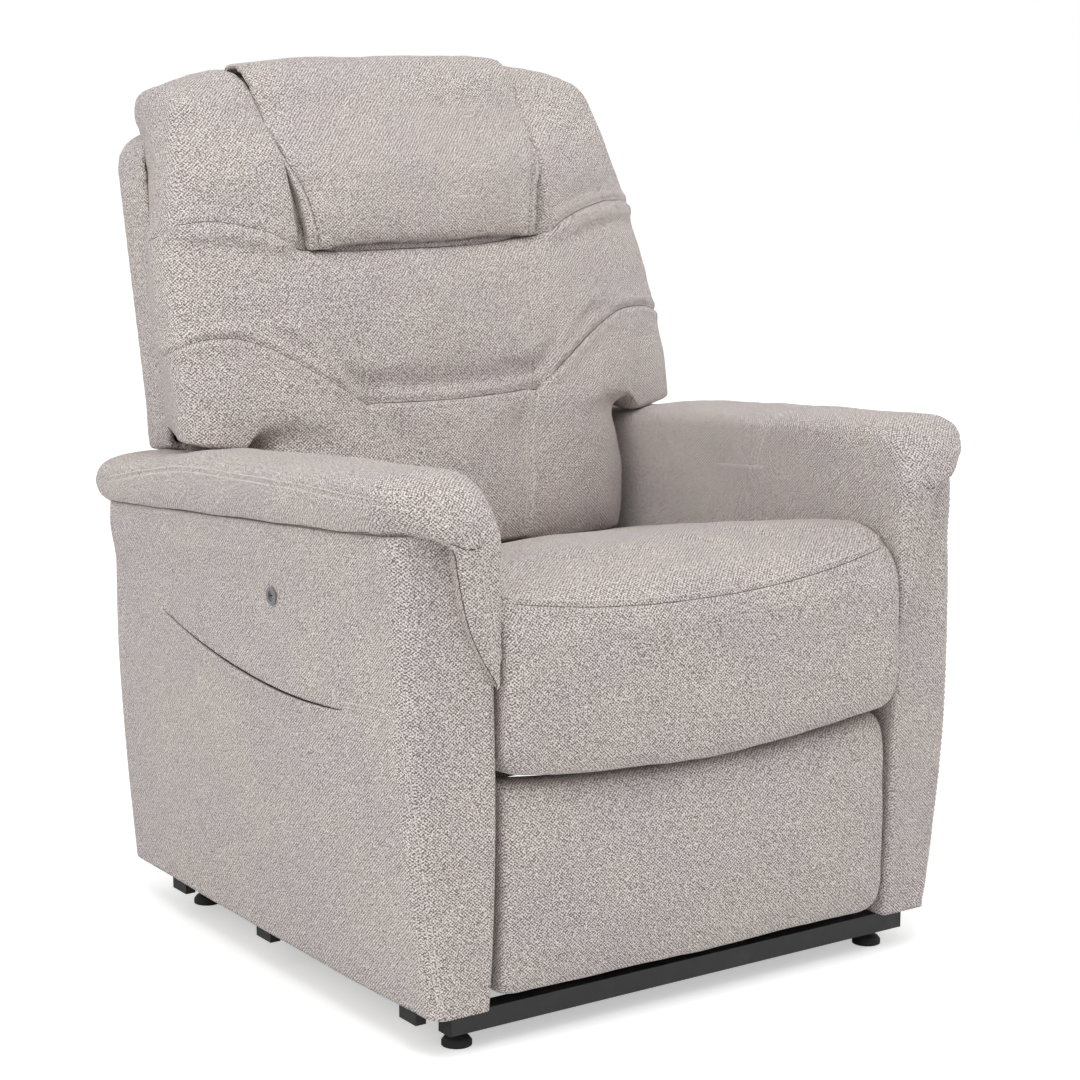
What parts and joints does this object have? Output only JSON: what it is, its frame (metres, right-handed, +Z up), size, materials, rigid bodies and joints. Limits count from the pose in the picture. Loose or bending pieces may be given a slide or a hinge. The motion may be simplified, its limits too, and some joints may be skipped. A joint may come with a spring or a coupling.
{
  "type": "lift recliner chair",
  "caption": "Upholstered armchair on a steel base that lifts and tilts its sitter up, with a reclining back and a folding footrest.",
  "frame": {"origin": "centre of the chair's outline on the floor, under the feet", "axes": "+Z up, -Y to the sitter's front, +X to the sitter's left"},
  "size_m": [0.846, 0.8769, 1.1097],
  "materials": {
    "main_fabric": "matte",
    "lining_fabric": "matte",
    "frame_black": "satin",
    "zinc_steel": "satin",
    "foot_plastic": "matte",
    "motor_plastic": "matte",
    "tube_plastic": "satin",
    "bezel_plastic": "satin",
    "rubber_pad": "matte",
    "timber": "matte"
  },
  "bodies": {
    "base": {"base_front_tube": "frame_black", "base_rear_tube": "frame_black", "base_mid_tube": "frame_black", "base_side_tubes": "frame_black", "base_end_caps": "foot_plastic", "base_rest_pads": "rubber_pad", "lift_pivot_brackets": "frame_black", "levelling_feet": "foot_plastic", "foot_nuts": "zinc_steel", "lift_motor_bracket": "frame_black", "power_supply": "motor_plastic", "power_inlet": "motor_plastic"},
    "lift_arms": {"lift_arms": "frame_black", "lift_torque_tube": "frame_black"},
    "lift_guide": {"lift_guide_links": "frame_black"},
    "lift_motor": {"lift_motor": "motor_plastic", "lift_motor_tube": "tube_plastic"},
    "lift_rod": {"lift_rod": "zinc_steel"},
    "chassis": {"chassis_side_plates": "frame_black", "chassis_cross_tubes": "frame_black", "lift_plates": "frame_black", "left_arm_shell": "main_fabric", "right_arm_shell": "main_fabric", "arm_frames": "timber", "left_arm_pad": "main_fabric", "right_arm_pad": "main_fabric", "side_pocket": "lining_fabric", "usb_bezel": "bezel_plastic", "usb_socket": "motor_plastic", "arm_glides": "foot_plastic", "arm_bolts": "zinc_steel", "seat_cross_rails": "timber", "seat_side_rails": "timber", "seat_springs": "zinc_steel", "seat_cushion": "main_fabric", "rear_panel": "main_fabric", "actuator_brackets": "frame_black"},
    "backrest": {"back_brackets": "frame_black", "back_posts": "timber", "back_rails": "timber", "back_springs": "zinc_steel", "back_cushion": "main_fabric", "head_pillow": "main_fabric", "outer_back": "main_fabric", "recline_lever": "frame_black"},
    "recline_motor": {"recline_motor": "motor_plastic", "recline_motor_tube": "tube_plastic"},
    "recline_rod": {"recline_rod": "zinc_steel"},
    "legrest_rear": {"legrest_rear_links": "frame_black", "legrest_torque_tube": "frame_black"},
    "legrest_front": {"legrest_front_links": "frame_black"},
    "legrest_guide": {"legrest_guide_links": "frame_black"},
    "legrest_board_links": {"legrest_board_links": "frame_black"},
    "legrest_board": {"legrest_brackets": "frame_black", "legrest_board": "timber", "legrest_pad": "main_fabric"},
    "legrest_motor": {"legrest_motor": "motor_plastic", "legrest_motor_tube": "tube_plastic"},
    "legrest_rod": {"legrest_rod": "zinc_steel"}
  },
  "joints": [
    {"name": "lift", "type": "hinge", "parent": "base", "child": "lift_arms", "pos_m": [0, -0.19, 0.088], "axis": [1, 0, 0], "range_deg": [0, 52]},
    {"name": "chassis_tilt", "type": "hinge", "parent": "lift_arms", "child": "chassis", "pos_m": [0, 0.19786, 0.12877], "axis": [1, 0, 0], "range_deg": [-27, 0]},
    {"name": "lift_guide", "type": "hinge", "parent": "base", "child": "lift_guide", "pos_m": [0, -0.25, 0.075], "axis": [1, 0, 0], "range_deg": [0, 59]},
    {"name": "lift_motor_tilt", "type": "hinge", "parent": "base", "child": "lift_motor", "pos_m": [0, 0.23, 0.085], "axis": [1, 0, 0], "range_deg": [0, 3]},
    {"name": "lift_rod_slide", "type": "slide", "parent": "lift_motor", "child": "lift_rod", "axis": [0, -0.979, 0.2039], "range_m": [0, 0.069]},
    {"name": "recline", "type": "hinge", "parent": "chassis", "child": "backrest", "pos_m": [0, 0.215, 0.4], "axis": [-1, 0, 0], "range_deg": [0, 42]},
    {"name": "recline_motor_tilt", "type": "hinge", "parent": "chassis", "child": "recline_motor", "pos_m": [0, -0.13, 0.265], "axis": [1, 0, 0], "range_deg": [0, 2.5]},
    {"name": "recline_rod_slide", "type": "slide", "parent": "recline_motor", "child": "recline_rod", "axis": [0, 0.9922, 0.1247], "range_m": [-0.065, 0]},
    {"name": "legrest", "type": "hinge", "parent": "chassis", "child": "legrest_rear", "pos_m": [0, -0.24, 0.3], "axis": [-1, 0, 0], "range_deg": [0, 90]},
    {"name": "legrest_front", "type": "hinge", "parent": "legrest_rear", "child": "legrest_front", "pos_m": [0, -0.24, 0.115], "axis": [1, 0, 0], "range_deg": [0, 128]},
    {"name": "legrest_board_tilt", "type": "hinge", "parent": "legrest_front", "child": "legrest_board", "pos_m": [0, -0.338, 0.26], "axis": [1, 0, 0], "range_deg": [-128, 0]},
    {"name": "legrest_board_link", "type": "hinge", "parent": "legrest_rear", "child": "legrest_board_links", "pos_m": [0, -0.24, 0.07], "axis": [1, 0, 0], "range_deg": [0, 128]},
    {"name": "legrest_guide", "type": "hinge", "parent": "chassis", "child": "legrest_guide", "pos_m": [0, -0.212, 0.282], "axis": [1, 0, 0], "range_deg": [-90, 0]},
    {"name": "legrest_motor_tilt", "type": "hinge", "parent": "chassis", "child": "legrest_motor", "pos_m": [0, 0.14, 0.275], "axis": [1, 0, 0], "range_deg": [-2, 0]},
    {"name": "legrest_rod_slide", "type": "slide", "parent": "legrest_motor", "child": "legrest_rod", "axis": [0, -0.9996, -0.0265], "range_m": [0, 0.052]}
  ],
  "couplings": [
    {"joint": "chassis_tilt", "follows": "lift", "ratio": -0.5},
    {"joint": "lift_guide", "follows": "lift", "ratio": 1.1174},
    {"joint": "lift_motor_tilt", "follows": "lift", "ratio": 0.0505},
    {"joint": "lift_rod_slide", "follows": "lift", "m_per_rad": 0.07449},
    {"joint": "recline_motor_tilt", "follows": "recline", "ratio": 0.0395},
    {"joint": "recline_rod_slide", "follows": "recline", "m_per_rad": -0.08653},
    {"joint": "legrest_front", "follows": "legrest", "ratio": 1.4},
    {"joint": "legrest_board_tilt", "follows": "legrest", "ratio": -1.4},
    {"joint": "legrest_board_link", "follows": "legrest", "ratio": 1.4},
    {"joint": "legrest_guide", "follows": "legrest", "ratio": -0.9842},
    {"joint": "legrest_motor_tilt", "follows": "legrest", "ratio": -0.0159},
    {"joint": "legrest_rod_slide", "follows": "legrest", "m_per_rad": 0.03202}
  ]
}
